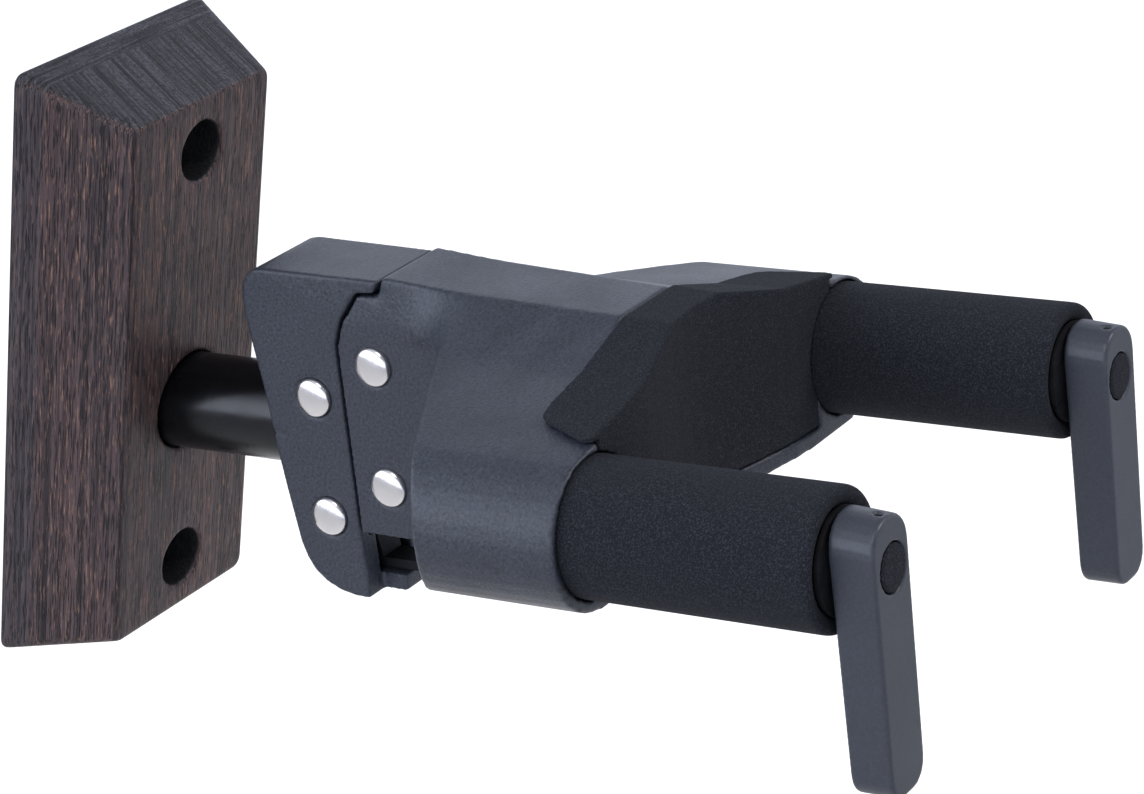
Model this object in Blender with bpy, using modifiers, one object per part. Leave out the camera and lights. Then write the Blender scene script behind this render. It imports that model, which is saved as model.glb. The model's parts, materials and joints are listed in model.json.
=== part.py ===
"""Wall guitar hanger with a self-closing yoke.

A tapered wooden block carries a steel post that slopes up and away from the wall.  A bracket
swivels on the end of the post, and a yoke hangs in front of the bracket on two parallel links.
The weight of an instrument pushes the yoke down on its links; a fixed beam then turns a crank
on each gate shaft, and the two gates at the arm ends swing inward.

World frame: origin at the centre of the block's back face, +Z up, +X to the right of someone
facing the wall, and the hanger stands out along -Y.  Everything beyond the block is laid out in
the post's own coordinates (x, s, h) in millimetres: s runs out along the post from the block's
front face, h is square to it and upward, and x is the world's X.
"""
import bpy
import bmesh
from math import atan2, cos, degrees, hypot, pi, radians, sin
from mathutils import Matrix, Vector

MM = 0.001                      # one millimetre in metres
GAP = 0.3                       # clearance between neighbouring pieces

# ---- wooden block -------------------------------------------------------------------------
WOOD_DEPTH = 22.9
WOOD_BACK = (28.8, 61.9)        # half width and half height at the wall
WOOD_FRONT = (20.7, 55.0)       # half width and half height of the front face
WOOD_CORNER_R, WOOD_EDGE = 2.2, 0.6
SCREW_Z = 44.2                  # wall screws, above and below the centre
SCREW_SINK_R, SCREW_SINK_DEPTH = 6.0, 15.5
SCREW_HOLE_R = 2.75

# ---- post and swivel ----------------------------------------------------------------------
POST_TILT = radians(13.14)      # the post rises towards its free end
POST_EXIT_Z = -8.58             # where the post's axis leaves the block's front face
POST_R, POST_BORE_R = 9.5, 8.0
POST_START, POST_END = -12.7, 28.6
POST_SINK_END = -13.0           # floor of the block's post hole
BOLT_RECESS_R, BOLT_RECESS_FLOOR = 8.0, -17.5
BOLT_R = 2.9
SWIVEL_BOLT_R, SWIVEL_HEAD_R = 3.9, 4.9
BUSH_R, BUSH_END = 9.4, 30.4

# ---- bracket and links --------------------------------------------------------------------
CHEEK_X = 10.0                  # outer half width of the bracket and of the yoke's stem
TOP_X = 9.3                     # half width of their top face at the seam
CAVITY_X = 7.2
LINK_X = 6.9
TOP_H = 32.7
BRACKET_WALL_S = 32.5           # inner face of the bracket's rear wall
LUG_X, LUG_TOP, LUG_END = 4.9, -28.6, 50.3
REAR_UPPER = (38.0, 8.0)        # rivet centres as (s, h)
REAR_LOWER = (38.0, -16.0)
LINK_STEP = (14.7, 7.6)         # from a rear rivet to the front rivet of the same link
FRONT_UPPER = (REAR_UPPER[0] + LINK_STEP[0], REAR_UPPER[1] + LINK_STEP[1])
FRONT_LOWER = (REAR_LOWER[0] + LINK_STEP[0], REAR_LOWER[1] + LINK_STEP[1])
LINK_END_R = 3.6
RIVET_R, RIVET_HEAD_R, RIVET_DOME = 2.5, 3.8, 1.25
RIVET_HOLE_R = RIVET_R + GAP
OPEN_PIVOT_R = RIVET_R + 0.8    # the lower link's front hole, where the linkage is opened

# ---- yoke ---------------------------------------------------------------------------------
ARM_X, ARM_H = 44.6, 6.7        # axis of each arm
SOCKET_CENTRE, SOCKET_R = (45.0, 6.0), 14.0
SOCKET_MOUTH = 121.2
WING_REAR_S, WING_SWEEP = 65.0, 0.480       # rear edge: s = 65.0 + 0.480 |x|
YOKE_BOTTOM, STEM_BOTTOM = -8.0, -18.5
FRONT_S, FRONT_BOW, FRONT_REACH = 116.8, 4.4, 30.0
PAD_THICKNESS, PAD_LIFT = 1.2, 1.35
PAD_BOTTOM = -4.5
PAD_REAR = 107.2
PAD_SEAT_H = 28.4               # the yoke's top is lowered to this height under the pad
POCKET_X = 33.6                 # half width of the pad's pocket below the sleeves' axes
POCKET_TOP_X = 41.6             # and above them
PAD_TIP_X, PAD_MOUTH_X = 39.2, 43.4
COVER_X, COVER_TOP = 40.0, -6.0
COVER_SCREW = (38.9, 105.9)

# ---- arms and gates -----------------------------------------------------------------------
SLEEVE_R, SLEEVE_BORE_R = 12.42, 8.3
SLEEVE_START, SLEEVE_END = 114.3, 167.9
SLEEVE_ROUNDING = 1.2
TUBE_R, TUBE_BORE_R = 8.0, 6.3
TUBE_START, TUBE_END = 106.8, 167.0
COLLAR_R, COLLAR_END = 9.2, 168.2
GATE_BACK, GATE_FRONT = 168.6, 176.9
GATE_LEAN = 0.012               # the gate thins towards its tip: its back face leans forward
GATE_TAPER = 0.016              # and its sides draw in
GATE_TOP_FALL = 0.6             # its top face falls towards the front
GATE_INNER_X, GATE_OUTER_X = 38.8, 51.2
GATE_TOP, GATE_TIP = 16.3, -33.2
GATE_TOP_R, GATE_TIP_R = 5.6, 4.4
GATE_SCREW_S = 174.9
PLUG_R = 4.1
SHAFT_R = 3.0
CRANK_R = 7.6                   # from the shaft's axis to the crank pin
CRANK_REST = radians(-30.0)     # the crank points inward and 30 degrees down at rest
PIN_R = 1.5
CRANK_BACK, CRANK_FRONT = 98.6, 101.6
BEAM_X = 3.0
BEAM_PIN = (39.4, -24.9)
BEAM_BACK, BEAM_FRONT = 93.3, 96.3

SEGMENTS = 40


# ------------------------------------------------------------------------------ scene set-up
def clear_scene():
    for item in list(bpy.data.objects):
        bpy.data.objects.remove(item, do_unlink=True)


def new_collection(name):
    group = bpy.data.collections.new(name)
    bpy.context.scene.collection.children.link(group)
    return group


def material(name, colour, roughness, metallic=0.0):
    found = bpy.data.materials.get(name)
    if found:
        return found
    made = bpy.data.materials.new(name)
    made.use_nodes = True
    shader = made.node_tree.nodes["Principled BSDF"]
    shader.inputs["Base Color"].default_value = (*colour, 1.0)
    shader.inputs["Roughness"].default_value = roughness
    shader.inputs["Metallic"].default_value = metallic
    return made


def stained_wood():
    return material("stained_wood", (0.045, 0.033, 0.031), 0.6)


def black_steel():
    return material("black_steel", (0.008, 0.008, 0.010), 0.25, 0.3)


def slate_plastic():
    return material("slate_plastic", (0.055, 0.060, 0.075), 0.55)


def gate_rubber():
    return material("gate_rubber", (0.055, 0.060, 0.070), 0.5)


def black_foam():
    return material("black_foam", (0.014, 0.015, 0.019), 0.95)


def bright_steel():
    return material("bright_steel", (0.75, 0.75, 0.76), 0.18, 1.0)


def bush_nylon():
    return material("bush_nylon", (0.02, 0.02, 0.022), 0.5)


# --------------------------------------------------------------------------- pivots (empties)
class Pivot:
    """An empty on a joint's axis, at (x, s, h) in the post's coordinates."""

    def __init__(self, name, parent=None, x=0.0, s=0.0, h=0.0):
        self.place = Vector((x, -s, h)) * MM
        self.empty = bpy.data.objects.new(name, None)
        PARTS.objects.link(self.empty)
        if parent is None:
            self.empty.location = (0.0, -WOOD_DEPTH * MM, POST_EXIT_Z * MM)
            self.empty.rotation_euler = (-POST_TILT, 0.0, 0.0)
        else:
            self.empty.parent = parent.empty
            self.empty.location = self.place - parent.place


# ------------------------------------------------------------------------------- mesh tools
def prism(points, axis, low, high):
    """A flat outline pushed along an axis.  Outlines are (s, h), (x, h) or (x, s) points."""
    lay = {"x": lambda a, b, t: (t, a, b), "s": lambda a, b, t: (a, t, b),
           "h": lambda a, b, t: (a, b, t)}[axis]
    bm = bmesh.new()
    base = bm.faces.new([bm.verts.new(lay(a, b, low)) for a, b in points])
    moved = bmesh.ops.extrude_face_region(bm, geom=[base])["geom"]
    step = Vector(lay(0.0, 0.0, high - low))
    bmesh.ops.translate(bm, verts=[v for v in moved if isinstance(v, bmesh.types.BMVert)], vec=step)
    return bm


def box(x, s, h):
    """A box from three (low, high) pairs."""
    return prism([(x[0], s[0]), (x[1], s[0]), (x[1], s[1]), (x[0], s[1])], "h", *h)


def turned(profile, axis, centre=(0.0, 0.0), segments=SEGMENTS):
    """A closed (t, radius) outline turned about an axis parallel to x, s or h."""
    bm = bmesh.new()
    corners = [bm.verts.new((radius, 0.0, t)) for t, radius in profile]
    edges = [bm.edges.new((a, b)) for a, b in zip(corners, corners[1:] + corners[:1])
             if abs(a.co.x) + abs(b.co.x) > 1e-6]
    bmesh.ops.spin(bm, geom=corners + edges, cent=(0, 0, 0), axis=(0, 0, 1),
                   angle=2 * pi, steps=segments, use_merge=True)
    bmesh.ops.remove_doubles(bm, verts=bm.verts, dist=1e-4)
    a, b = centre
    for vert in bm.verts:
        across, up, along = vert.co
        vert.co = {"s": (a + across, along, b + up), "x": (along, a + across, b + up),
                   "h": (a + across, b + up, along)}[axis]
    return bm


def rod(radius, low, high, axis="s", centre=(0.0, 0.0), segments=SEGMENTS):
    return turned([(low, 0.0), (low, radius), (high, radius), (high, 0.0)], axis, centre, segments)


def ring(inner, outer, low, high, centre=(0.0, 0.0), segments=SEGMENTS):
    return turned([(low, inner), (low, outer), (high, outer), (high, inner)], "s", centre, segments)


def join_loops(bm, loops):
    """Side faces between successive rings of vertices, and a cap on each end."""
    count = len(loops[0])
    for near, far in zip(loops, loops[1:]):
        for i in range(count):
            j = (i + 1) % count
            bm.faces.new((near[i], near[j], far[j], far[i]))
    # one diagonal rule for every loft keeps the pad's underside parallel to the yoke's top
    bmesh.ops.triangulate(bm, faces=bm.faces, quad_method="FIXED")
    bm.faces.new(loops[0])
    bm.faces.new(list(reversed(loops[-1])))


def rounded_box_outline(low, high, radius, steps=6):
    """A rectangle with round corners, as (a, b) points."""
    centres = [(high[0] - radius, high[1] - radius, 0), (low[0] + radius, high[1] - radius, 1),
               (low[0] + radius, low[1] + radius, 2), (high[0] - radius, low[1] + radius, 3)]
    return [(cx + radius * cos((quarter + i / steps) * pi / 2),
             cy + radius * sin((quarter + i / steps) * pi / 2))
            for cx, cy, quarter in centres for i in range(steps + 1)]


def strap_outline(a, b, radius_a, radius_b, steps=14):
    """Two round ends joined by straight sides, from centre a to centre b."""
    heading = atan2(b[1] - a[1], b[0] - a[0])
    lean = (radius_a - radius_b) / hypot(b[0] - a[0], b[1] - a[1])
    first = pi / 2 - lean
    ends = ((a, radius_a, first, 2 * pi - first), (b, radius_b, -first, first))
    return [(centre[0] + radius * cos(heading + low + (high - low) * i / steps),
             centre[1] + radius * sin(heading + low + (high - low) * i / steps))
            for centre, radius, low, high in ends for i in range(steps + 1)]


def build(name, bm, pivot, finish=None):
    """Turn a bmesh in (x, s, h) millimetres into an object hung on a pivot."""
    for vert in bm.verts:
        vert.co.y = -vert.co.y
    bmesh.ops.recalc_face_normals(bm, faces=bm.faces)
    if bm.calc_volume(signed=True) < 0:
        bmesh.ops.reverse_faces(bm, faces=bm.faces)
    offset = pivot.place if pivot else Vector((0, 0, 0))
    for vert in bm.verts:
        vert.co = vert.co * MM - offset
    mesh = bpy.data.meshes.new(name)
    bm.to_mesh(mesh)
    bm.free()
    made = bpy.data.objects.new(name, mesh)
    made.parent = pivot.empty if pivot else None
    if finish is None:
        CUTTERS.objects.link(made)
        made.hide_render = True
        made.display_type = "WIRE"
        return made
    PARTS.objects.link(made)
    mesh.materials.append(finish)
    mesh.shade_smooth()
    mesh.set_sharp_from_angle(angle=radians(35))
    return made


def boolean(part, operation, bm, pivot):
    tool = build(part.name + "_tool", bm, pivot)
    step = part.modifiers.new(operation.lower(), "BOOLEAN")
    step.operation = operation
    step.solver = "EXACT"
    step.object = tool
    return tool


def cut(part, bm, pivot):
    return boolean(part, "DIFFERENCE", bm, pivot)


def bevel(part, width, segments=2, angle=30.0):
    step = part.modifiers.new("round_edges", "BEVEL")
    step.width = width * MM
    step.segments = segments
    step.limit_method = "ANGLE"
    step.angle_limit = radians(angle)
    step.use_clamp_overlap = True
    step.miter_outer = "MITER_ARC"


# ------------------------------------------------------------------------ wall block and post
def wood_base():
    bm = bmesh.new()
    loops = []
    for inset, depth in ((WOOD_EDGE, 0.0), (0.0, WOOD_EDGE), (0.0, WOOD_DEPTH - WOOD_EDGE),
                         (0.3 * WOOD_EDGE, WOOD_DEPTH - 0.3 * WOOD_EDGE), (WOOD_EDGE, WOOD_DEPTH)):
        half_x, half_z = (back + (front - back) * depth / WOOD_DEPTH - inset
                          for back, front in zip(WOOD_BACK, WOOD_FRONT))
        outline = rounded_box_outline((-half_x, -half_z), (half_x, half_z), WOOD_CORNER_R - inset, 4)
        loops.append([bm.verts.new((x, depth, z)) for x, z in outline])
    join_loops(bm, loops)
    block = build("wood_base", bm, None, stained_wood())
    sink_floor = WOOD_DEPTH - SCREW_SINK_DEPTH
    counterbore = [(-5, 0.0), (-5, SCREW_HOLE_R), (sink_floor, SCREW_HOLE_R), (sink_floor, SCREW_SINK_R),
                   (WOOD_DEPTH + 5, SCREW_SINK_R), (WOOD_DEPTH + 5, 0.0)]
    for height in (SCREW_Z, -SCREW_Z):
        cut(block, turned(counterbore, "s", (0.0, height)), None)
    cut(block, rod(POST_R + GAP, POST_SINK_END, 20), POST)
    cut(block, rod(BOLT_R + GAP, -40, 0, segments=24), POST)
    cut(block, rod(BOLT_RECESS_R, -40, BOLT_RECESS_FLOOR), POST)


def post_pieces():
    steel = black_steel()
    build("post_tube", ring(POST_BORE_R, POST_R, POST_START, POST_END), POST, steel)
    plug_r = POST_BORE_R - GAP
    build("post_insert", ring(BOLT_R + GAP, plug_r, POST_START + 0.6, -2.0), POST, bright_steel())
    washer_back = BOLT_RECESS_FLOOR - GAP - 1.0
    build("post_washer", ring(BOLT_R + GAP, 7.2, washer_back, BOLT_RECESS_FLOOR - GAP),
          POST, bright_steel())
    head = washer_back - GAP
    bolt = build("post_bolt", turned([(head - 2.4, 0.0), (head - 2.4, 4.6), (head, 5.2), (head, BOLT_R),
                                      (-3.0, BOLT_R), (-3.0, 0.0)], "s"), POST, bright_steel())
    cut(bolt, rod(2.0, head - 5.0, head - 1.0, segments=6), POST)
    build("swivel_plug", ring(SWIVEL_BOLT_R + GAP, plug_r, 13.0, POST_END - 0.4), POST, bright_steel())
    washer_s = BRACKET_WALL_S + GAP
    build("swivel_washer", ring(SWIVEL_BOLT_R + GAP, 5.4, washer_s, washer_s + 0.9),
          POST, bright_steel())
    head = washer_s + 0.9 + GAP
    bolt = build("swivel_bolt", turned([(12.0, 0.0), (12.0, SWIVEL_BOLT_R), (head, SWIVEL_BOLT_R),
                                        (head, SWIVEL_HEAD_R), (head + 1.4, SWIVEL_HEAD_R - 0.3),
                                        (head + 1.4, 0.0)], "s"), POST, bright_steel())
    cut(bolt, rod(2.6, head + 0.5, head + 4.0, segments=6), POST)


# --------------------------------------------------------------------------- bracket and beam
def bracket_profile():
    """The bracket seen from the side, as (s, h) points, back edge first."""
    back = [(26.5, 8.6), (25.3, 16.5), (24.4, 23.5), (24.4, 26.6), (24.8, 29.0), (25.8, 31.0),
            (27.4, 32.3), (29.4, TOP_H)]
    seam = [(55.9, TOP_H - 0.4), (54.3, 29.9), (50.4, 29.6), (46.3, 23.9), (44.6, 19.0)]
    foot = [(44.6, -18.3), (45.0, -32.1), (41.6, -32.0), (38.4, -31.4), (35.2, -29.9), (32.7, -27.7),
            (31.3, -25.2), (30.3, -22.2)]
    return back + seam + foot + [(28.7, -11.5), (27.7, -3.9)]


def cheek_taper():
    """The narrow body's straight sides lean in above a soft crease, more so towards the seam."""
    bm = bmesh.new()
    loops = []
    for s, crease_h, top_x in ((10.0, 13.0, CHEEK_X), (27.0, 16.0, CHEEK_X - 0.05), (60.0, 21.3, TOP_X)):
        half = [(CHEEK_X, -60.0), (CHEEK_X, crease_h), (top_x, TOP_H), (top_x, TOP_H + 4.0)]
        outline = half + [(-x, h) for x, h in reversed(half)]
        loops.append([bm.verts.new((x, s, h)) for x, h in outline])
    join_loops(bm, loops)
    return bm


def rivet_holes(part, pivot, centres, hole_r=RIVET_HOLE_R):
    """Holes through both cheeks, with a shallow seat for each domed head."""
    for centre in centres:
        cut(part, rod(hole_r, -20, 20, "x", centre, 28), pivot)
        for low, high in ((-20, -CHEEK_X + 0.7), (CHEEK_X - 0.7, 20)):
            cut(part, rod(RIVET_HEAD_R + GAP, low, high, "x", centre, 32), pivot)


def rear_bracket():
    part = build("rear_bracket", prism(bracket_profile(), "x", -20, 20), BRACKET, slate_plastic())
    boolean(part, "INTERSECT", cheek_taper(), BRACKET)
    bevel(part, 0.35, 2, 32.0)
    cut(part, box((-CAVITY_X, CAVITY_X), (BRACKET_WALL_S, 70), (-20.2, 27.0)), BRACKET)
    cut(part, box((-LUG_X - 0.2, LUG_X + 0.2), (36.0, 70), (LUG_TOP, -10)), BRACKET)
    boolean(part, "UNION", box((-LUG_X, LUG_X), (42.0, LUG_END), (-31.9, LUG_TOP)), BRACKET)
    cut(part, rod(POST_R + GAP, 10, BUSH_END + GAP), BRACKET)
    cut(part, rod(SWIVEL_BOLT_R + 0.4, 20, 40), BRACKET)
    cut(part, rod(1.3, -8.0, 8.0, "x", BEAM_PIN, 16), BRACKET)
    rivet_holes(part, BRACKET, (REAR_UPPER, REAR_LOWER))


def swivel_bush():
    build("swivel_bush", ring(SWIVEL_BOLT_R + 0.4, BUSH_R, POST_END + GAP, BUSH_END),
          BRACKET, bush_nylon())


def rivet(name, pivot, centre):
    """A through pin with a domed head on each cheek."""
    seat = CHEEK_X - 0.7 + GAP
    rim = CHEEK_X + 0.1
    dome = [(rim + RIVET_DOME * sin(a), RIVET_HEAD_R * cos(a))
            for a in (i * pi / 8 for i in range(1, 4))]
    right = [(seat, RIVET_R), (seat, RIVET_HEAD_R), (rim, RIVET_HEAD_R)] + dome
    right += [(rim + RIVET_DOME, 0.0)]
    left = [(-t, radius) for t, radius in reversed(right)]
    build(name, turned(left + right, "x", centre, 28), pivot, bright_steel())


def actuator_beam():
    """A fixed tongue under the stem that ends in a cross bar with a slot for each crank pin."""
    foot = LUG_TOP + GAP
    web = [(36.5, foot), (52.0, foot), (94.5, -3.6), (94.5, 6.0), (90.0, 3.0),
           (52.0, -26.4), (44.2, -26.4), (43.2, -21.6), (36.5, -21.6)]
    part = build("actuator_beam", prism(web, "x", -BEAM_X, BEAM_X), BRACKET, black_steel())
    pin_x = ARM_X - CRANK_R * cos(CRANK_REST)
    pin_h = ARM_H + CRANK_R * sin(CRANK_REST)
    bar = box((-pin_x - 5.2, pin_x + 5.2), (BEAM_BACK, BEAM_FRONT), (pin_h - 5.0, pin_h + 5.2))
    boolean(part, "UNION", bar, BRACKET)
    travel = CRANK_R * (1 - cos(CRANK_REST))
    for side in (-1, 1):
        ends = [(side * (pin_x - travel - 0.2), pin_h), (side * (pin_x + 0.2), pin_h)]
        slot = strap_outline(ends[0], ends[1], PIN_R + 0.35, PIN_R + 0.35, 10)
        cut(part, prism(slot, "s", BEAM_BACK - 5, BEAM_FRONT + 5), BRACKET)
    cut(part, rod(1.3, -8.0, 8.0, "x", BEAM_PIN, 16), BRACKET)
    build("beam_pin", rod(1.0, -7.7, 7.7, "x", BEAM_PIN, 16), BRACKET, bright_steel())


# ----------------------------------------------------------------------------------- the links
def link(name, pivot, rear, front, front_hole_r):
    outline = strap_outline(rear, front, LINK_END_R, LINK_END_R)
    part = build(name, prism(outline, "x", -LINK_X, LINK_X), pivot, black_steel())
    bevel(part, 0.4, 1, 40.0)
    cut(part, rod(RIVET_HOLE_R, -20, 20, "x", rear, 28), pivot)
    cut(part, rod(front_hole_r, -20, 20, "x", front, 28), pivot)
    cut(part, rod(4.4, -4.0, 4.0, "x", rear, 28), pivot)
    return part


def return_spring():
    """A torsion spring wound round the upper rear rivet, with two short legs."""
    turns, per_turn, coil_r, wire_r, width = 5, 14, 3.35, 0.42, 5.6
    s0, h0 = REAR_UPPER
    start = radians(30.0)
    sweep = 2 * pi * turns + radians(80.0)
    count = int(turns * per_turn)
    route = [(-width / 2 + width * i / count, start + sweep * i / count) for i in range(count + 1)]
    points = [(x, s0 + coil_r * cos(a), h0 + coil_r * sin(a)) for x, a in route]
    for end, other in ((0, 1), (-1, -2)):
        x, s, h = points[end]
        _, s_next, h_next = points[other]
        tangent = Vector((s - s_next, h - h_next)).normalized() * 1.6
        leg = (x, s + tangent.x, h + tangent.y)
        points = [leg] + points if end == 0 else points + [leg]
    curve = bpy.data.curves.new("return_spring", "CURVE")
    curve.dimensions = "3D"
    curve.bevel_depth = wire_r * MM
    curve.bevel_resolution = 1
    curve.use_fill_caps = True
    line = curve.splines.new("POLY")
    line.points.add(len(points) - 1)
    for target, (x, s, h) in zip(line.points, points):
        target.co = (*(Vector((x, -s, h)) * MM - UPPER_LINK.place), 1.0)
    made = bpy.data.objects.new("return_spring", curve)
    PARTS.objects.link(made)
    made.parent = UPPER_LINK.empty
    curve.materials.append(bright_steel())


# ------------------------------------------------------------------------------------ the yoke
def curve_through(rows, s):
    """Smooth interpolation in a list of (s, value, value, ...) stations."""
    last = len(rows) - 1
    i = max(k for k in range(last) if k == 0 or rows[k][0] <= s)
    span = rows[i + 1][0] - rows[i][0]
    t = (s - rows[i][0]) / span

    def slopes(k):
        before, after = rows[max(k - 1, 0)], rows[min(k + 1, last)]
        return [span * (b - a) / (after[0] - before[0]) for a, b in zip(before[1:], after[1:])]

    return [(1 + 2 * t) * (1 - t) ** 2 * a + t * (1 - t) ** 2 * leaving
            + t * t * (3 - 2 * t) * b + t * t * (t - 1) * arriving
            for a, b, leaving, arriving in zip(rows[i][1:], rows[i + 1][1:], slopes(i), slopes(i + 1))]


def yoke_section(s, lift=0.0):
    """Front view of the yoke at one station: ridge, flank, wing and socket on both sides."""
    # station, top height, top half width, crease x, crease height, underside at the middle
    stem, wing = STEM_BOTTOM - 3, YOKE_BOTTOM
    stations = [(44.0, 33.2, 9.3, 10.1, 22.6, stem), (57.6, 32.9, 9.2, 10.2, 22.7, stem),
                (62.4, 32.5, 9.1, 11.2, 22.8, stem), (66.5, 32.1, 9.0, 13.2, 22.9, stem),
                (70.5, 31.8, 8.9, 16.1, 23.3, stem), (73.4, 31.6, 8.8, 18.5, 23.8, stem + 2),
                (76.0, 31.45, 8.75, 20.0, 24.2, -14.0), (83.0, 31.1, 8.6, 20.8, 24.3, wing),
                (107.0, 30.0, 8.0, 23.4, 24.0, wing), (130.0, 29.0, 7.5, 25.4, 23.5, wing)]
    top, top_x, crease_x, crease_h, bottom = curve_through(stations, s)
    cx, ch = SOCKET_CENTRE
    reach = SOCKET_R + lift
    half = [(top_x + lift * 0.4, top + lift * 0.15), (crease_x + lift * 0.3, crease_h + lift), (39.0, 21.3 + lift)]
    half += [(cx + reach * cos(a), ch + reach * sin(a))
             for a in (radians(83.0 - 173.0 * i / 16) for i in range(17))]
    half += [(20.0, bottom)]
    return half + [(-x, h) for x, h in reversed(half)]


def yoke_loft(lift=0.0):
    """Sections joined from the seam behind the yoke to a plane in front of it."""
    rows = [44.0, 57.6, 60.0, 62.4, 64.5, 66.5, 68.5, 70.5, 72.0, 73.4, 74.7, 76.0, 79.0, 83.0, 95.0,
            107.0, 113.0, 118.0, 130.0]
    bm = bmesh.new()
    join_loops(bm, [[bm.verts.new((x, s, h)) for x, h in yoke_section(s, lift)] for s in rows])
    return bm


def front_line(x):
    """The bowed front wall in plan: deepest in the middle, flush with the sockets' mouths."""
    part = min(abs(x) / FRONT_REACH, 1.0)
    return FRONT_S + FRONT_BOW * (1 - cos(pi * part)) / 2


def wing_rear(x):
    return WING_REAR_S + WING_SWEEP * x


def mirrored(half):
    return half + [(-x, s) for x, s in reversed(half)]


def yoke_plan():
    outer = SOCKET_CENTRE[0] + SOCKET_R + 5
    front = [(x, front_line(x)) for x in (30.0, 25.0, 20.0, 15.0, 10.0, 5.0)]
    return mirrored([(CHEEK_X, 40.0), (CHEEK_X, wing_rear(CHEEK_X)), (outer, wing_rear(outer)),
                     (outer, SOCKET_MOUTH)] + front)


def shoulder_plan():
    """The flank flares out of the stem before the wing starts below it."""
    flare = [(10.0, 57.6), (10.9, 62.4), (12.9, 66.5), (15.9, 70.5), (18.1, 72.9)]
    reach = 20.6
    return mirrored([(8.0, 56.2)] + flare + [(reach, wing_rear(reach)), (reach, 90.0)])


def stem_profile():
    """Side view of the yoke: the seam against the bracket, and the stem's underside."""
    seam = [(56.3, 40.0), (56.3, 32.1), (54.9, 29.3), (50.7, 29.0), (46.8, 23.5), (45.1, 18.9)]
    foot = [(45.1, STEM_BOTTOM), (56.4, STEM_BOTTOM), (57.6, -17.4), (66.0, -16.0), (84.0, YOKE_BOTTOM - 1)]
    return seam + foot + [(140.0, YOKE_BOTTOM - 1), (140.0, 40.0)]


def yoke_body():
    part = build("yoke_body", yoke_loft(), YOKE, slate_plastic())
    plan = boolean(part, "INTERSECT", prism(yoke_plan(), "h", -40, 40), YOKE)
    boolean(plan, "UNION", prism(shoulder_plan(), "h", 22.2, 41), YOKE)
    boolean(part, "INTERSECT", prism(stem_profile(), "x", -80, 80), YOKE)
    cut_pad_pocket(part)
    # the channel for the links leaves a web that meets the tongue when the yoke is fully down
    web_back, web_front, web_top = 46.4, 50.0, -16.4
    channel = [(40, -30), (web_back, -30), (web_back, web_top), (web_front, web_top),
               (web_front, -30), (94, -30), (94, 24), (40, 24)]
    cut(part, prism(channel, "x", -CAVITY_X, CAVITY_X), YOKE)
    # the hollow for the cross bar and the cranks, and the seat of its cover
    cut(part, box((-43.6, 43.6), (91.0, 104), (-4, 16.6)), YOKE)
    cut(part, box((-50.4, 50.4), (92.4, 103.9), (-0.5, 15.8)), YOKE)
    cut(part, box((-38.0, 38.0), (93.0, 103.8), (-20, 0)), YOKE)
    cut(part, box((-COVER_X - GAP, COVER_X + GAP), (92.2, 107.8), (-20, COVER_TOP + GAP)), YOKE)
    for side in (-1, 1):
        steps = [(100, SHAFT_R + 0.4), (TUBE_START - GAP, TUBE_R + GAP), (SLEEVE_START - GAP, SLEEVE_R + 0.24)]
        profile = [(100, 0.0)]
        for (start, radius), (end, _) in zip(steps, steps[1:] + [(140, 0.0)]):
            profile += [(start, radius), (end, radius)]
        cut(part, turned(profile + [(140, 0.0)], "s", (side * ARM_X, ARM_H), 56), YOKE)
        cut(part, rod(1.2, -12, -1, "h", (side * COVER_SCREW[0], COVER_SCREW[1]), 16), YOKE)
    rivet_holes(part, YOKE, (FRONT_UPPER, FRONT_LOWER))


def inner_line(setback):
    """Plan points of the front wall, set back from the pad's face, from the middle outwards."""
    return [(x, front_line(x) - setback) for x in (0, 4, 8, 12, 16, 20, 24, 28, 32)]


def cut_pad_pocket(part):
    """The front wall stands back behind the pad, down to the lip that the pad rests on."""
    for wide, low, high in ((POCKET_X, PAD_BOTTOM - GAP, ARM_H), (POCKET_TOP_X, ARM_H - 1, 60)):
        half = inner_line(PAD_THICKNESS + GAP) + [(wide, SOCKET_MOUTH - PAD_THICKNESS - GAP)]
        back = [(-x, s) for x, s in reversed(half[1:])] + half
        cut(part, prism(back + [(wide, 140.0), (-wide, 140.0)], "h", low, high), YOKE)
    cut(part, box((-20, 20), (PAD_REAR - GAP, 150), (PAD_SEAT_H, 60)), YOKE)


def saddle_pad():
    """The foam that lines the cradle: over the yoke's top and down its front wall."""
    front = [(x, front_line(x)) for x in range(30, -1, -5)]
    half = [(PAD_TIP_X - 6.0, PAD_REAR), (PAD_TIP_X - 1.6, PAD_REAR + 0.7), (PAD_TIP_X, PAD_REAR + 2.4),
            (PAD_MOUTH_X, SOCKET_MOUTH - 2.0), (PAD_MOUTH_X - 0.6, SOCKET_MOUTH)] + front
    plan = half + [(-x, s) for x, s in reversed(half[:-1])]
    part = build("saddle_pad", yoke_loft(PAD_LIFT), YOKE, black_foam())
    boolean(part, "INTERSECT", prism(plan, "h", PAD_BOTTOM, 60), YOKE)
    core = boolean(part, "DIFFERENCE", yoke_loft(GAP), YOKE)
    side = POCKET_TOP_X - GAP
    half = [(70.0, 90.0), (70.0, 150.0), (side, 150.0), (side, SOCKET_MOUTH - PAD_THICKNESS)]
    half += list(reversed(inner_line(PAD_THICKNESS)))
    plan = half + [(-x, s) for x, s in reversed(half[:-1])]
    boolean(core, "INTERSECT", prism(plan, "h", -60, PAD_SEAT_H + GAP), YOKE)
    for side in (-1, 1):
        cut(part, rod(SLEEVE_R + GAP, 90, 140, "s", (side * ARM_X, ARM_H), 56), YOKE)
        low, high = sorted((side * (POCKET_X - GAP), side * 60))
        cut(part, box((low, high), (100, 140), (-20, ARM_H - 1.0 + GAP)), YOKE)


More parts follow.
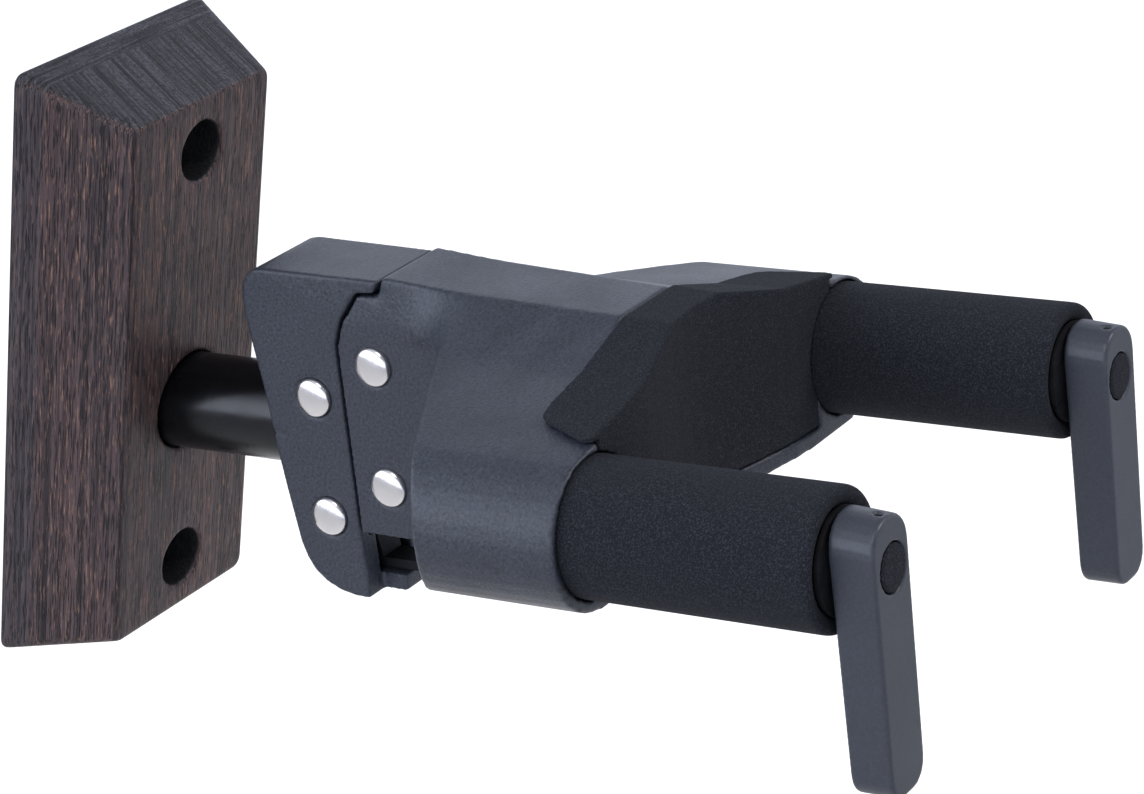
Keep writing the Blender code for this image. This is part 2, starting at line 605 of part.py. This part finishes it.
def bottom_cover():
    outline = rounded_box_outline((-COVER_X, 92.5), (COVER_X, 107.5), 1.0, 2)
    part = build("bottom_cover", prism(outline, "h", YOKE_BOTTOM + 0.1, COVER_TOP), YOKE, slate_plastic())
    for side, name in ((-1, "left"), (1, "right")):
        spot = (side * COVER_SCREW[0], COVER_SCREW[1])
        cut(part, rod(1.25, -12, 0, "h", spot, 16), YOKE)
        profile = [(YOKE_BOTTOM - 0.9, 0.0), (YOKE_BOTTOM - 0.9, 1.3), (YOKE_BOTTOM - 0.2, 1.75),
                   (YOKE_BOTTOM - 0.2, 0.9), (-1.5, 0.9), (-1.5, 0.0)]
        build("cover_screw_" + name, turned(profile, "h", spot, 16), YOKE, bright_steel())


# -------------------------------------------------------------------------------- arms and gates
def arm(side, name):
    axis = (side * ARM_X, ARM_H)
    build("arm_tube_" + name, ring(TUBE_BORE_R, TUBE_R, TUBE_START, TUBE_END, axis), YOKE, black_steel())
    rounding = SLEEVE_ROUNDING
    end = [(SLEEVE_END - rounding + rounding * sin(a), SLEEVE_R - rounding + rounding * cos(a))
           for a in (i * pi / 8 for i in range(5))]
    profile = [(SLEEVE_START, SLEEVE_BORE_R), (SLEEVE_START, SLEEVE_R)] + end
    profile += [(SLEEVE_END - 0.5, COLLAR_R + 0.5), (SLEEVE_END - 2.2, SLEEVE_BORE_R)]
    build("foam_sleeve_" + name, turned(profile, "s", axis), YOKE, black_foam())
    bush_r = TUBE_BORE_R - GAP
    bore_r = SHAFT_R + GAP
    build("rear_bush_" + name, ring(bore_r, bush_r, TUBE_START + 0.4, 113.0, axis, 32), YOKE, bush_nylon())
    build("front_bush_" + name, ring(bore_r, bush_r, 158.0, TUBE_END, axis, 32), YOKE, bush_nylon())
    build("end_collar_" + name, ring(bore_r, COLLAR_R, TUBE_END + GAP, COLLAR_END, axis),
          YOKE, black_steel())


def gate(side, name, pivot):
    axis = (side * ARM_X, ARM_H)
    low, high = sorted((side * GATE_INNER_X, side * GATE_OUTER_X))
    upper = rounded_box_outline((low, GATE_TIP), (high, GATE_TOP), GATE_TOP_R)
    lower = rounded_box_outline((low, GATE_TIP), (high, GATE_TOP), GATE_TIP_R)
    half = len(upper) // 2
    bm = prism(upper[:half] + lower[half:], "s", GATE_BACK, GATE_FRONT)
    middle = (low + high) / 2
    for vert in bm.verts:
        vert.co.x = middle + (vert.co.x - middle) * (1 - GATE_TAPER * (GATE_TOP - vert.co.z) / (high - low))
        if vert.co.y < GATE_FRONT - 1:
            vert.co.y += GATE_LEAN * (GATE_TOP - vert.co.z)
        elif vert.co.z > ARM_H:
            vert.co.z -= GATE_TOP_FALL
    part = build("gate_" + name, bm, pivot, gate_rubber())
    bevel(part, 0.5, 2, 40.0)
    cut(part, rod(SHAFT_R + GAP, 160, GATE_FRONT - 1.3, "s", axis, 32), pivot)
    cut(part, rod(PLUG_R + GAP, GATE_FRONT - 1.7, 190, "s", axis), pivot)
    cut(part, rod(0.75, ARM_H, 40, "h", (side * ARM_X, GATE_SCREW_S), 16), pivot)
    face = GATE_FRONT + 0.3
    cap = turned([(GATE_FRONT - 1.4, 0.0), (GATE_FRONT - 1.4, PLUG_R), (face - 0.4, PLUG_R),
                  (face - 0.1, PLUG_R - 0.5), (face, 0.0)], "s", axis)
    build("gate_plug_" + name, cap, pivot, black_foam())
    build("gate_screw_" + name, rod(0.45, ARM_H + SHAFT_R + GAP, 15.2, "h", (side * ARM_X, GATE_SCREW_S), 16),
          pivot, bright_steel())
    build("gate_shaft_" + name, rod(SHAFT_R, CRANK_BACK, GATE_FRONT - 2.0, "s", axis, 32), pivot, bright_steel())
    crank(side, name, pivot)


def crank(side, name, pivot):
    axis = (side * ARM_X, ARM_H)
    pin = (axis[0] - side * CRANK_R * cos(CRANK_REST), axis[1] + CRANK_R * sin(CRANK_REST))
    part = build("crank_" + name, prism(strap_outline(axis, pin, 5.0, 2.9), "s", CRANK_BACK, CRANK_FRONT),
                 pivot, bright_steel())
    cut(part, rod(SHAFT_R + GAP, 90, 110, "s", axis, 32), pivot)
    cut(part, rod(PIN_R + GAP, 90, 110, "s", pin, 24), pivot)
    build("crank_pin_" + name, rod(PIN_R, 92.2, CRANK_FRONT - 0.2, "s", pin, 20), pivot, bright_steel())


# ----------------------------------------------------------------------------------------- build
clear_scene()
PARTS = new_collection("wall_guitar_hanger")
CUTTERS = new_collection("cutters")
POST = Pivot("post_frame")
BRACKET = Pivot("swivel_axis", POST)
UPPER_LINK = Pivot("upper_link_axis", BRACKET, 0.0, *REAR_UPPER)
LOWER_LINK = Pivot("lower_link_axis", BRACKET, 0.0, *REAR_LOWER)
YOKE = Pivot("yoke_axis", UPPER_LINK, 0.0, *FRONT_UPPER)

wood_base()
post_pieces()
rear_bracket()
swivel_bush()
rivet("rear_upper_rivet", BRACKET, REAR_UPPER)
rivet("rear_lower_rivet", BRACKET, REAR_LOWER)
actuator_beam()
link("upper_link", UPPER_LINK, REAR_UPPER, FRONT_UPPER, RIVET_HOLE_R)
return_spring()
link("lower_link", LOWER_LINK, REAR_LOWER, FRONT_LOWER, OPEN_PIVOT_R)
yoke_body()
rivet("front_upper_rivet", YOKE, FRONT_UPPER)
rivet("front_lower_rivet", YOKE, FRONT_LOWER)
saddle_pad()
bottom_cover()
for side, name in ((-1, "left"), (1, "right")):
    arm(side, name)
    gate(side, name, Pivot("gate_axis_" + name, YOKE, side * ARM_X, 0.0, ARM_H))
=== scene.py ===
"""Looks for the wall guitar hanger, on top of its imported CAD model.

The CAD pieces that already have their final shape keep it and get a better material here.  The
moulded, foam and wooden pieces are replaced by softened copies with rounded edges.
Everything is in metres in the model's own frame: +X right, +Y into the wall, +Z up.
"""

import json
from math import cos, pi, radians, sin

import bmesh
import bpy
from mathutils import Matrix, Vector


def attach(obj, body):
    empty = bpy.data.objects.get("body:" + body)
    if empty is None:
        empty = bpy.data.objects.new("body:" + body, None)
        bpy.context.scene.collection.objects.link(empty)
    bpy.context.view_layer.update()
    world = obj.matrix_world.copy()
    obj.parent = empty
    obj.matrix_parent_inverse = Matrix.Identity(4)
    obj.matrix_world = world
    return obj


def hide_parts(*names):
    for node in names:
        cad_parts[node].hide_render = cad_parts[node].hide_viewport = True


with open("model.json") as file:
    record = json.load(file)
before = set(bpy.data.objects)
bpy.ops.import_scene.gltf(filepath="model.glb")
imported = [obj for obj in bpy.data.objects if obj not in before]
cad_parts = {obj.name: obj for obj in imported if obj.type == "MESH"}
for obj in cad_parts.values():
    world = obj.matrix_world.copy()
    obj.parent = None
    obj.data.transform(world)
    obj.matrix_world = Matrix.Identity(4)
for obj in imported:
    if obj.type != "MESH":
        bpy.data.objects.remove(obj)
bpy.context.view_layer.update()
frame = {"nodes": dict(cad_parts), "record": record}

MM = 0.001
SIDES = ("left", "right")

# the post's own coordinates: x across, s out along the post, h square to it and upward
WOOD_DEPTH = 22.9 * MM
POST_TILT = radians(13.14)
POST_EXIT_Z = -8.58 * MM
POST_OUT = Vector((0.0, -cos(POST_TILT), sin(POST_TILT)))
POST_UP = Vector((0.0, sin(POST_TILT), cos(POST_TILT)))
POST_EXIT = Vector((0.0, -WOOD_DEPTH, POST_EXIT_Z))

# the turned pieces that are made again with more faces
POST_R, POST_BORE_R, POST_START, POST_END = 9.5, 8.0, -12.7, 28.6
RIVETS = {"rear_upper": (38.0, 8.0), "rear_lower": (38.0, -16.0),
          "front_upper": (52.7, 15.6), "front_lower": (52.7, -8.4)}
RIVET_SHANK_R, RIVET_HEAD_R, RIVET_SEAT, RIVET_RIM, RIVET_DOME = 2.5, 3.8, 9.6, 10.1, 1.25
DOME_STEPS = 10
RIVET_FACES, POST_FACES = 72, 128

# the yoke's flanks, where the sections change fastest: low and high corners as (|x|, s, h)
FLANK_ZONES = (((8.5, 53.5, 24.8), (24.0, 84.0, 31.0)),
               ((8.5, 53.5, 20.5), (13.5, 64.0, 31.0)))
FLANK_ROUNDS = 30
BOARD_JOINT = 6.0 * MM          # glue line of the wooden block, from the wall
# the wall screws' counterbores, whose insides get painted shade: height, radius, and just behind their
# floors
SCREW_HOLE_Z, SCREW_SINK_R, SCREW_SINK_Y = 44.2 * MM, 6.0 * MM, -7.2 * MM
RING_TURN = radians(-14.3)      # the front board's rings, from square to the wall


def at(x, s, h):
    """A point given in the post's coordinates, in millimetres."""
    return POST_EXIT + Vector((x * MM, 0, 0)) + POST_OUT * (s * MM) + POST_UP * (h * MM)


# ------------------------------------------------------------------------- material building
class Shader:
    """A Principled material with small helpers for procedural detail."""

    def __init__(self, name, colour, roughness, metallic=0.0, specular=0.5):
        self.material = bpy.data.materials.new(name)
        self.material.use_nodes = True
        self.tree = self.material.node_tree
        self.surface = self.tree.nodes["Principled BSDF"]
        self.surface.inputs["Base Color"].default_value = (*colour, 1.0)
        self.surface.inputs["Roughness"].default_value = roughness
        self.surface.inputs["Metallic"].default_value = metallic
        self.surface.inputs["Specular IOR Level"].default_value = specular
        self.place = self.add("ShaderNodeTexCoord").outputs["Object"]

    def add(self, kind, **settings):
        node = self.tree.nodes.new(kind)
        for key, value in settings.items():
            setattr(node, key, value)
        return node

    def link(self, source, target):
        self.tree.links.new(source, target)

    def stretched(self, scale, turn):
        """Object coordinates turned about Z, then multiplied by one factor per axis."""
        mapping = self.add("ShaderNodeMapping", vector_type="TEXTURE")
        mapping.inputs["Rotation"].default_value = (0.0, 0.0, turn)
        mapping.inputs["Scale"].default_value = tuple(1.0 / factor for factor in scale)
        self.link(self.place, mapping.inputs["Vector"])
        return mapping.outputs["Vector"]

    def noise(self, scale, detail=2.0, roughness=0.5, distortion=0.0, turn=0.0):
        """Noise value with a scale per metre, or three scales for a directional grain."""
        texture = self.add("ShaderNodeTexNoise")
        texture.inputs["Detail"].default_value = detail
        texture.inputs["Roughness"].default_value = roughness
        texture.inputs["Distortion"].default_value = distortion
        if isinstance(scale, tuple):
            texture.inputs["Scale"].default_value = 1.0
            self.link(self.stretched(scale, turn), texture.inputs["Vector"])
        else:
            texture.inputs["Scale"].default_value = scale
            self.link(self.place, texture.inputs["Vector"])
        return texture.outputs["Fac"]

    def coordinate(self, axis, source="Object"):
        parts = self.add("ShaderNodeSeparateXYZ")
        self.link(self.place.node.outputs[source], parts.inputs[0])
        return parts.outputs[axis]

    def hole_distance(self, centre):
        """Distance in the XZ plane from a centre and from its mirror image across Z = 0."""
        folded = self.add("ShaderNodeVectorMath", operation="ABSOLUTE")
        self.link(self.place, folded.inputs[0])
        flat = self.add("ShaderNodeVectorMath", operation="MULTIPLY")
        self.link(folded.outputs[0], flat.inputs[0])
        flat.inputs[1].default_value = (1.0, 0.0, 1.0)
        distance = self.add("ShaderNodeVectorMath", operation="DISTANCE")
        self.link(flat.outputs[0], distance.inputs[0])
        distance.inputs[1].default_value = centre
        return distance.outputs["Value"]

    def ramp(self, value, low, high, start=0.0, end=1.0):
        node = self.add("ShaderNodeMapRange")
        for key, number in (("From Min", low), ("From Max", high), ("To Min", start), ("To Max", end)):
            node.inputs[key].default_value = number
        self.link(value, node.inputs["Value"])
        return node.outputs["Result"]

    def mix(self, factor, first, second, blend="MIX"):
        node = self.add("ShaderNodeMix", data_type="RGBA", blend_type=blend)
        self.link(factor, node.inputs["Factor"])
        for socket, value in ((node.inputs[6], first), (node.inputs[7], second)):
            if isinstance(value, tuple):
                socket.default_value = (*value, 1.0)
            else:
                self.link(value, socket)
        return node.outputs[2]

    def bump(self, height, depth, strength=1.0):
        """Relief in metres, stacked on any relief added before."""
        node = self.add("ShaderNodeBump")
        node.inputs["Strength"].default_value = strength
        node.inputs["Distance"].default_value = depth
        self.link(height, node.inputs["Height"])
        before = self.surface.inputs["Normal"].links
        if before:
            self.link(before[0].from_socket, node.inputs["Normal"])
        self.link(node.outputs["Normal"], self.surface.inputs["Normal"])

    def set(self, socket, value):
        if isinstance(value, (int, float)):
            self.surface.inputs[socket].default_value = value
        else:
            self.link(value, self.surface.inputs[socket])


def moulded_plastic(name, dark, light, roughness, grain_depth):
    """Spark-eroded moulded plastic: a fine even grain and a slightly cloudy sheen."""
    shader = Shader(name, light, roughness)
    grain = shader.noise(1700.0, 3.0, 0.75)
    clouds = shader.noise(70.0, 3.0)
    speckle = shader.mix(shader.ramp(grain, 0.32, 0.70), dark, light)
    shader.set("Base Color", shader.mix(shader.ramp(clouds, 0.3, 0.7, 0.0, 0.22), speckle, dark))
    shader.set("Roughness", shader.ramp(clouds, 0.3, 0.7, roughness - 0.04, roughness + 0.05))
    shader.bump(grain, grain_depth * MM)
    return shader.material


def foam():
    """Closed-cell foam: matt and dark, with tiny open cells at the cut skin."""
    shader = Shader("foam_skin", (0.012, 0.013, 0.016), 0.95, specular=0.22)
    cells = shader.noise(3000.0, 2.0, 0.7)
    crumbs = shader.noise(800.0, 2.0, 0.5)
    patches = shader.noise(60.0, 2.0)
    base = shader.mix(shader.ramp(cells, 0.48, 0.74), (0.0095, 0.0105, 0.0140),
                      (0.042, 0.046, 0.058))
    shader.set("Base Color", shader.mix(shader.ramp(patches, 0.35, 0.7, 0.0, 0.3), base,
                                        (0.015, 0.016, 0.021)))
    shader.bump(cells, 0.14 * MM)
    shader.bump(crumbs, 0.05 * MM)
    return shader.material


def stained_wood():
    """Dark stained open-grained block, glued from a thin rear board and a thick front board.

    The front board's rings stand almost square to the wall and the rear board's lie along it.
    """
    shader = Shader("stained_wood_grain", (0.04, 0.03, 0.028), 0.5, specular=0.35)
    rear_board = shader.ramp(shader.coordinate("Y"), -BOARD_JOINT - 0.2 * MM, -BOARD_JOINT + 0.2 * MM)
    front_rings = shader.noise((1500.0, 45.0, 3.5), 4.0, 0.7, 0.3, turn=RING_TURN)
    rear_rings = shader.noise((45.0, 1500.0, 3.5), 4.0, 0.7, 0.3)
    choice = shader.add("ShaderNodeMix", data_type="FLOAT")
    shader.link(rear_board, choice.inputs[0])
    shader.link(front_rings, choice.inputs[2])
    shader.link(rear_rings, choice.inputs[3])
    rings = choice.outputs[0]
    pores = shader.noise((2900.0, 2900.0, 190.0), 2.0, 0.65)
    flecks = shader.noise((2500.0, 2600.0, 230.0), 3.0, 0.7)
    bands = shader.noise((150.0, 190.0, 9.0), 3.0, 0.6)
    tone = shader.mix(shader.ramp(rings, 0.40, 0.60), (0.016, 0.011, 0.014), (0.082, 0.056, 0.057))
    tone = shader.mix(shader.ramp(bands, 0.40, 0.66, 0.0, 0.5), tone, (0.110, 0.062, 0.060))
    tone = shader.mix(shader.ramp(flecks, 0.55, 0.68, 0.0, 0.85), tone, (0.27, 0.145, 0.098))
    cool = shader.mix(shader.ramp(rings, 0.40, 0.60), (0.024, 0.022, 0.028), (0.062, 0.053, 0.060))
    tone = shader.mix(shader.ramp(rear_board, 0.0, 1.0, 0.0, 0.6), tone, cool)
    tone = shader.mix(shader.ramp(pores, 0.53, 0.62, 0.0, 0.9), tone, (0.010, 0.007, 0.010))
    # end grain soaks up more stain and is darker; the cool grey-blue tone on the upward-facing top is a
    # painted sheen, a reflection of the sky painted into its colour
    end_grain_and_painted_sheen = shader.ramp(shader.coordinate("Z", "Normal"), 0.60, 0.80, 0.0, 0.85)
    stain_and_sky_sheen = shader.mix(shader.ramp(rings, 0.40, 0.60), (0.010, 0.011, 0.015), (0.092, 0.092, 0.110))
    stain_and_sky_sheen = shader.mix(shader.ramp(shader.noise(1500.0, 2.0), 0.45, 0.65, 0.0, 0.75), stain_and_sky_sheen,
                         (0.012, 0.013, 0.017))
    tone = shader.mix(end_grain_and_painted_sheen, tone, stain_and_sky_sheen)
    # painted shade: the counterbores' insides are painted near black, standing in for the shade inside
    # these recesses
    depth = shader.hole_distance((0.0, 0.0, SCREW_HOLE_Z))
    inside = shader.ramp(depth, SCREW_SINK_R, SCREW_SINK_R + 0.15 * MM, 1.0, 0.0)
    front_part = shader.ramp(shader.coordinate("Y"), SCREW_SINK_Y, SCREW_SINK_Y + 0.3 * MM, 1.0, 0.0)
    tone = shader.mix(inside, tone, shader.mix(front_part, tone, (0.006, 0.006, 0.007)))
    shader.set("Base Color", tone)
    shader.set("Roughness", shader.ramp(flecks, 0.3, 0.7, 0.40, 0.62))
    shader.bump(shader.ramp(pores, 0.53, 0.66, 1.0, 0.0), 0.22 * MM)
    shader.bump(rings, 0.16 * MM)
    return shader.material


def enamel():
    """Gloss black enamel over a drawn tube, with a faint orange peel."""
    shader = Shader("black_enamel", (0.0015, 0.0018, 0.0026), 0.24, specular=0.42)
    haze = shader.noise(160.0, 3.0)
    shader.set("Roughness", shader.ramp(haze, 0.3, 0.7, 0.20, 0.30))
    shader.bump(shader.noise(700.0, 1.0), 0.010 * MM)
    return shader.material


def phosphated():
    """Black phosphated steel: matt, with a slightly mottled skin."""
    shader = Shader("black_phosphate", (0.004, 0.004, 0.005), 0.6, specular=0.25)
    mottle = shader.noise(500.0, 3.0)
    shader.set("Base Color", shader.mix(shader.ramp(mottle, 0.35, 0.7), (0.003, 0.003, 0.004),
                                        (0.009, 0.009, 0.011)))
    shader.bump(mottle, 0.01 * MM)
    return shader.material


def steel(name, colour, roughness):
    """Bright steel with a slightly uneven polish and a little tarnish."""
    shader = Shader(name, colour, roughness, 1.0)
    polish = shader.noise((300.0, 1500.0, 1500.0), 2.0, 0.6)
    tarnish = shader.noise(350.0, 3.0)
    shader.set("Base Color", shader.mix(shader.ramp(tarnish, 0.4, 0.75, 0.0, 0.35), colour,
                                        tuple(0.8 * c for c in colour)))
    shader.set("Roughness", shader.ramp(polish, 0.3, 0.7, roughness * 0.8, roughness * 1.2))
    return shader.material


def make_materials():
    return {
        "stained_wood": stained_wood(),
        "black_steel": phosphated(),
        "slate_plastic": moulded_plastic("slate_moulding", (0.0080, 0.0100, 0.0160),
                                         (0.0500, 0.0570, 0.0770), 0.42, 0.11),
        "gate_rubber": moulded_plastic("gate_moulding", (0.0265, 0.0300, 0.0400),
                                       (0.0430, 0.0480, 0.0620), 0.42, 0.014),
        "black_foam": foam(),
        "bright_steel": steel("polished_steel", (0.90, 0.86, 0.84), 0.21),
        "bush_nylon": moulded_plastic("nylon", (0.008, 0.008, 0.009), (0.016, 0.016, 0.018),
                                      0.5, 0.01),
    }


MATERIALS = make_materials()
SLOT_OF = {entry["node"]: entry["material_slot"] for entry in frame["record"]["subparts"]}
BODY_OF = {node: body for body, nodes in frame["record"]["behaviour"]["bodies"].items() for node in nodes}


# ------------------------------------------------------------------------------ mesh building
def paint(obj, material):
    obj.data.materials.clear()
    obj.data.materials.append(material)


def stand_for(obj, node, material=None):
    """A new piece that takes a CAD node's place, body and material slot."""
    paint(obj, material or MATERIALS[SLOT_OF[node]])
    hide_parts(node)
    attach(obj, BODY_OF[node])
    return obj


def new_object(name, mesh):
    obj = bpy.data.objects.new(name, mesh)
    bpy.context.scene.collection.objects.link(obj)
    return obj


def applied(obj):
    """Turns an object's modifiers into its mesh."""
    graph = bpy.context.evaluated_depsgraph_get()
    mesh = bpy.data.meshes.new_from_object(obj.evaluated_get(graph))
    obj.modifiers.clear()
    obj.data = mesh
    return obj


def softened(name, node, voxel, rounds):
    """A copy of a CAD node, remeshed evenly and smoothed, so that its edges are rounded."""
    obj = new_object(name, frame["nodes"][node].data.copy())
    remesh = obj.modifiers.new("even_faces", "REMESH")
    remesh.mode = "VOXEL"
    remesh.voxel_size = voxel * MM
    remesh.use_smooth_shade = True
    smooth = obj.modifiers.new("rounded_edges", "SMOOTH")
    smooth.factor = 0.5
    smooth.iterations = rounds
    return applied(obj)


def lathe(name, node, profile, centre, axis, across, faces, material=None):
    """A closed (along, radius) outline in millimetres turned about an axis through a centre."""
    bm = bmesh.new()
    corners = [bm.verts.new((radius * MM, 0.0, along * MM)) for along, radius in profile]
    edges = [bm.edges.new(pair) for pair in zip(corners, corners[1:] + corners[:1])
             if pair[0].co.x + pair[1].co.x > 0.0]
    bmesh.ops.spin(bm, geom=corners + edges, cent=(0, 0, 0), axis=(0, 0, 1),
                   angle=2 * pi, steps=faces, use_merge=True)
    bmesh.ops.remove_doubles(bm, verts=bm.verts, dist=1e-7)
    turn = Matrix((across, axis.cross(across), axis)).transposed().to_4x4()
    bmesh.ops.transform(bm, matrix=Matrix.Translation(centre) @ turn, verts=bm.verts)
    bmesh.ops.recalc_face_normals(bm, faces=bm.faces)
    mesh = bpy.data.meshes.new(name)
    bm.to_mesh(mesh)
    bm.free()
    mesh.shade_smooth()
    mesh.set_sharp_from_angle(angle=radians(40))
    return stand_for(new_object(name, mesh), node, material)


def polished_rivet(name, node, s, h):
    """A through pin with a smooth domed head on each cheek."""
    head = [(RIVET_SEAT, RIVET_SHANK_R), (RIVET_SEAT, RIVET_HEAD_R), (RIVET_RIM, RIVET_HEAD_R)]
    for i in range(1, DOME_STEPS):
        a = i * pi / 2 / DOME_STEPS
        head.append((RIVET_RIM + RIVET_DOME * sin(a), RIVET_HEAD_R * cos(a)))
    head.append((RIVET_RIM + RIVET_DOME, 0.0))
    far_head = [(-along, radius) for along, radius in reversed(head)]
    lathe(name, node, far_head + head, at(0, s, h), Vector((1, 0, 0)), POST_OUT, RIVET_FACES)


def relaxed(obj, zones, rounds):
    """Evens out the surface inside boxes given as low and high (|x|, s, h) corners in millimetres."""
    bm = bmesh.new()
    bm.from_mesh(obj.data)
    chosen = []
    for vert in bm.verts:
        step = (vert.co - POST_EXIT) / MM
        spot = (abs(step.x), step.dot(POST_OUT), step.dot(POST_UP))
        if any(all(a <= value <= b for a, value, b in zip(low, spot, high)) for low, high in zones):
            chosen.append(vert)
    for _ in range(rounds):
        bmesh.ops.smooth_vert(bm, verts=chosen, factor=0.5,
                              use_axis_x=True, use_axis_y=True, use_axis_z=True)
    bm.to_mesh(obj.data)
    bm.free()
    return obj


for node, cad in frame["nodes"].items():
    paint(cad, MATERIALS[SLOT_OF[node]])

yoke = softened("yoke_moulding", "yoke_body", 0.45, 5)
stand_for(relaxed(yoke, FLANK_ZONES, FLANK_ROUNDS), "yoke_body")
stand_for(softened("bracket_moulding", "rear_bracket", 0.35, 5), "rear_bracket")
stand_for(softened("wooden_block", "wood_base", 0.5, 8), "wood_base")
lathe("enamelled_post", "post_tube", [(POST_START, POST_BORE_R), (POST_START, POST_R),
                                      (POST_END, POST_R), (POST_END, POST_BORE_R)],
      POST_EXIT, POST_OUT, Vector((1, 0, 0)), POST_FACES, enamel())
for name, (s, h) in RIVETS.items():
    polished_rivet(name + "_pin", name + "_rivet", s, h)
pad = stand_for(softened("cradle_pad", "saddle_pad", 0.3, 8), "saddle_pad")
for side in SIDES:
    sleeve = stand_for(softened("sleeve_" + side, "foam_sleeve_" + side, 0.4, 8), "foam_sleeve_" + side)
    stand_for(softened("gate_cover_" + side, "gate_" + side, 0.3, 4), "gate_" + side)


# ------------------------------------------------------------------------ camera, light, floor
CAMERA_PLACE = Vector((-0.519727, -0.394224, 0.325635))
CAMERA_AZIMUTH, CAMERA_ELEVATION, CAMERA_ROLL = radians(-61.11), radians(27.14), radians(5.89)
CAMERA_LENS, SENSOR_WIDTH = 115.745, 36.0
FLOOR_Z = -0.6
FLOOR_SIZE = 12.0
# brightness changes of the tent: from, to (cosines), brightness there
CEILING = (0.16, 0.60, 2.1, 0.42)
BACKDROP = (-0.9, 0.7, 0.8, 1.25)
SIDES_OF_TENT = (-0.95, 0.75, 1.4, 0.52)
CAMERA_SIDE = (-0.55, -0.75, 0.35)
SHADE = (0.3, 0.95, 1.0, 0.55)
WORLD_COLOUR = (0.88, 0.95, 1.12, 1.0)


def add_camera():
    back = Vector((sin(CAMERA_AZIMUTH) * cos(CAMERA_ELEVATION),
                   -cos(CAMERA_AZIMUTH) * cos(CAMERA_ELEVATION), sin(CAMERA_ELEVATION)))
    level = (-back).cross(Vector((0, 0, 1))).normalized()
    upright = level.cross(-back)
    right = level * cos(CAMERA_ROLL) + upright * sin(CAMERA_ROLL)
    up = upright * cos(CAMERA_ROLL) - level * sin(CAMERA_ROLL)
    data = bpy.data.cameras.new("camera")
    data.lens, data.sensor_width = CAMERA_LENS, SENSOR_WIDTH
    data.clip_start, data.clip_end = 0.05, 50.0
    camera = bpy.data.objects.new("camera", data)
    turn = Matrix((right, up, back)).transposed().to_4x4()
    camera.matrix_world = Matrix.Translation(CAMERA_PLACE) @ turn
    bpy.context.scene.collection.objects.link(camera)
    bpy.context.scene.camera = camera


def add_area(name, place, aim, size, power, seen=True):
    data = bpy.data.lights.new(name, "AREA")
    data.shape, data.size, data.energy = "DISK", size, power
    light = bpy.data.objects.new(name, data)
    light.location = place
    light.visible_camera = seen
    light.rotation_mode = "QUATERNION"
    light.rotation_quaternion = (Vector(aim) - Vector(place)).to_track_quat("-Z", "Y")
    bpy.context.scene.collection.objects.link(light)


def add_world():
    """A white tent: brightest at the horizon and behind the hanger, darker overhead."""
    world = bpy.data.worlds.new("studio")
    world.use_nodes = True
    bpy.context.scene.world = world
    tree = world.node_tree
    direction = tree.nodes.new("ShaderNodeTexCoord").outputs["Generated"]

    def band(towards, low, high, start, end):
        """A smooth change of brightness along one direction."""
        along = tree.nodes.new("ShaderNodeVectorMath")
        along.operation = "DOT_PRODUCT"
        along.inputs[1].default_value = Vector(towards).normalized()
        tree.links.new(direction, along.inputs[0])
        change = tree.nodes.new("ShaderNodeMapRange")
        change.interpolation_type = "SMOOTHSTEP"
        for key, number in (("From Min", low), ("From Max", high), ("To Min", start), ("To Max", end)):
            change.inputs[key].default_value = number
        tree.links.new(along.outputs["Value"], change.inputs["Value"])
        return change.outputs["Result"]

    total = None
    for part in (band((0, 0, 1), *CEILING), band((0, 1, 0), *BACKDROP), band((1, 0, 0), *SIDES_OF_TENT),
                 band(CAMERA_SIDE, *SHADE)):
        if total is None:
            total = part
            continue
        product = tree.nodes.new("ShaderNodeMath")
        product.operation = "MULTIPLY"
        tree.links.new(total, product.inputs[0])
        tree.links.new(part, product.inputs[1])
        total = product.outputs[0]
    tree.links.new(total, tree.nodes["Background"].inputs["Strength"])
    tree.nodes["Background"].inputs["Color"].default_value = WORLD_COLOUR


def add_floor():
    bm = bmesh.new()
    bmesh.ops.create_grid(bm, x_segments=1, y_segments=1, size=FLOOR_SIZE / 2)
    mesh = bpy.data.meshes.new("floor")
    bm.to_mesh(mesh)
    bm.free()
    floor = new_object("floor", mesh)
    floor.location.z = FLOOR_Z
    shader = Shader("floor_paper", (0.80, 0.785, 0.755), 0.9)
    paint(floor, shader.material)


add_camera()
add_floor()
add_world()
HANGER_MIDDLE = (0.0, -0.1, 0.0)
add_area("key", (0.5, -0.8, 1.2), HANGER_MIDDLE, 0.7, 10.0)
add_area("top_lamp", (-0.9, -0.1, 1.3), HANGER_MIDDLE, 0.6, 5.0)
# lights the floor behind the hanger: it hangs lower than the hanger and shines down
add_area("floor_light", (1.2, 0.55, -0.15), (1.2, 0.55, FLOOR_Z), 2.2, 13.0, False)
bpy.context.scene.view_settings.view_transform = "Standard"
